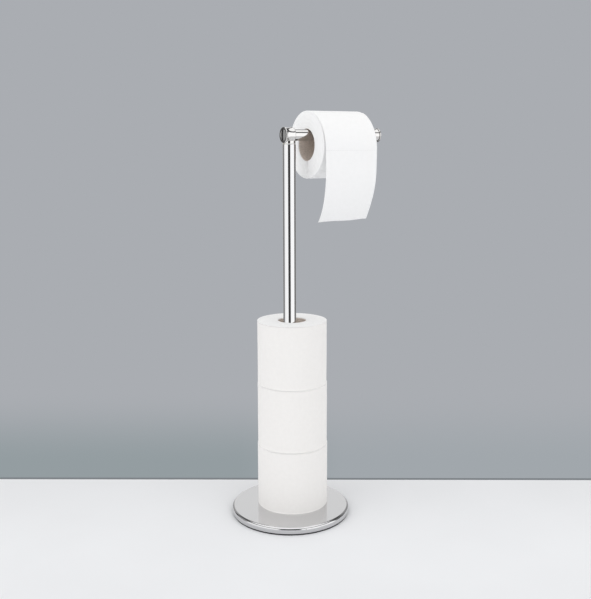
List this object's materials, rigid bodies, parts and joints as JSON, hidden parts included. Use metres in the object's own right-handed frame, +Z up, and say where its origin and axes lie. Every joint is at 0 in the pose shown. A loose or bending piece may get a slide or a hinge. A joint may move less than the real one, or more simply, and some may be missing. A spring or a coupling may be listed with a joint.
{
  "type": "free-standing toilet roll storage holder",
  "caption": "Free-standing steel toilet roll holder: round weighted base, tall post for spare rolls, and a swivelling arm that carries the roll in use.",
  "frame": {"origin": "centre of the base's underside, on the floor, on the post's axis", "axes": "+Z up along the post; the roll arm points along +X; the loose sheet hangs on the -Y side, where a user stands"},
  "size_m": [0.2532, 0.186, 0.6284],
  "materials": {
    "polished_steel": "polished stainless steel",
    "base_steel": "satin-polished stainless steel",
    "plated_steel": "zinc-plated steel",
    "ballast_iron": "as cast, painted",
    "pad_foam": "dense foam",
    "sleeve_nylon": "moulded nylon",
    "tissue": "soft white embossed tissue",
    "core_board": "grey-brown wound board"
  },
  "bodies": {
    "stand": {"base_cover": "base_steel", "base_weight": "ballast_iron", "anti_slip_pad": "pad_foam", "base_bolt": "plated_steel", "flat_washer": "plated_steel", "spring_washer": "plated_steel", "post_foot_insert": "plated_steel", "post_lower_tube": "polished_steel", "post_joiner": "plated_steel", "post_upper_tube": "polished_steel"},
    "swivel_sleeve": {"spigot_sleeve": "sleeve_nylon"},
    "arm_head": {"head_spigot": "plated_steel", "head_tee": "polished_steel", "head_end_cap": "polished_steel", "arm_set_screw": "plated_steel", "arm_tube": "polished_steel", "arm_end_neck": "polished_steel", "arm_end_disc": "polished_steel"},
    "loose_end": {"loose_sheet": "tissue"},
    "hanging_roll": {"hanging_roll_paper": "tissue", "hanging_roll_core": "core_board"},
    "spare_roll_1": {"spare_roll_1_paper": "tissue", "spare_roll_1_core": "core_board"},
    "spare_roll_2": {"spare_roll_2_paper": "tissue", "spare_roll_2_core": "core_board"},
    "spare_roll_3": {"spare_roll_3_paper": "tissue", "spare_roll_3_core": "core_board"}
  },
  "joints": [
    {"name": "head_lift", "type": "slide", "parent": "stand", "child": "swivel_sleeve", "axis": [0, 0, 1], "range_m": [0, 0.03]},
    {"name": "arm_swivel", "type": "hinge", "parent": "swivel_sleeve", "child": "arm_head", "pos_m": [0, 0, 0.5785], "axis": [0, 0, 1], "continuous": true},
    {"name": "roll_shift", "type": "slide", "parent": "arm_head", "child": "loose_end", "axis": [1, 0, 0], "range_m": [-0.0188, 0.0285]},
    {"name": "roll_spin", "type": "hinge", "parent": "loose_end", "child": "hanging_roll", "pos_m": [0.0748, 0, 0.5776], "axis": [1, 0, 0], "continuous": true},
    {"name": "spare_1_lift", "type": "slide", "parent": "stand", "child": "spare_roll_1", "axis": [0, 0, 1], "range_m": [0, 0.048]},
    {"name": "spare_2_lift", "type": "slide", "parent": "spare_roll_1", "child": "spare_roll_2", "axis": [0, 0, 1], "range_m": [0, 0.048]},
    {"name": "spare_3_lift", "type": "slide", "parent": "spare_roll_2", "child": "spare_roll_3", "axis": [0, 0, 1], "range_m": [0, 0.048]}
  ]
}
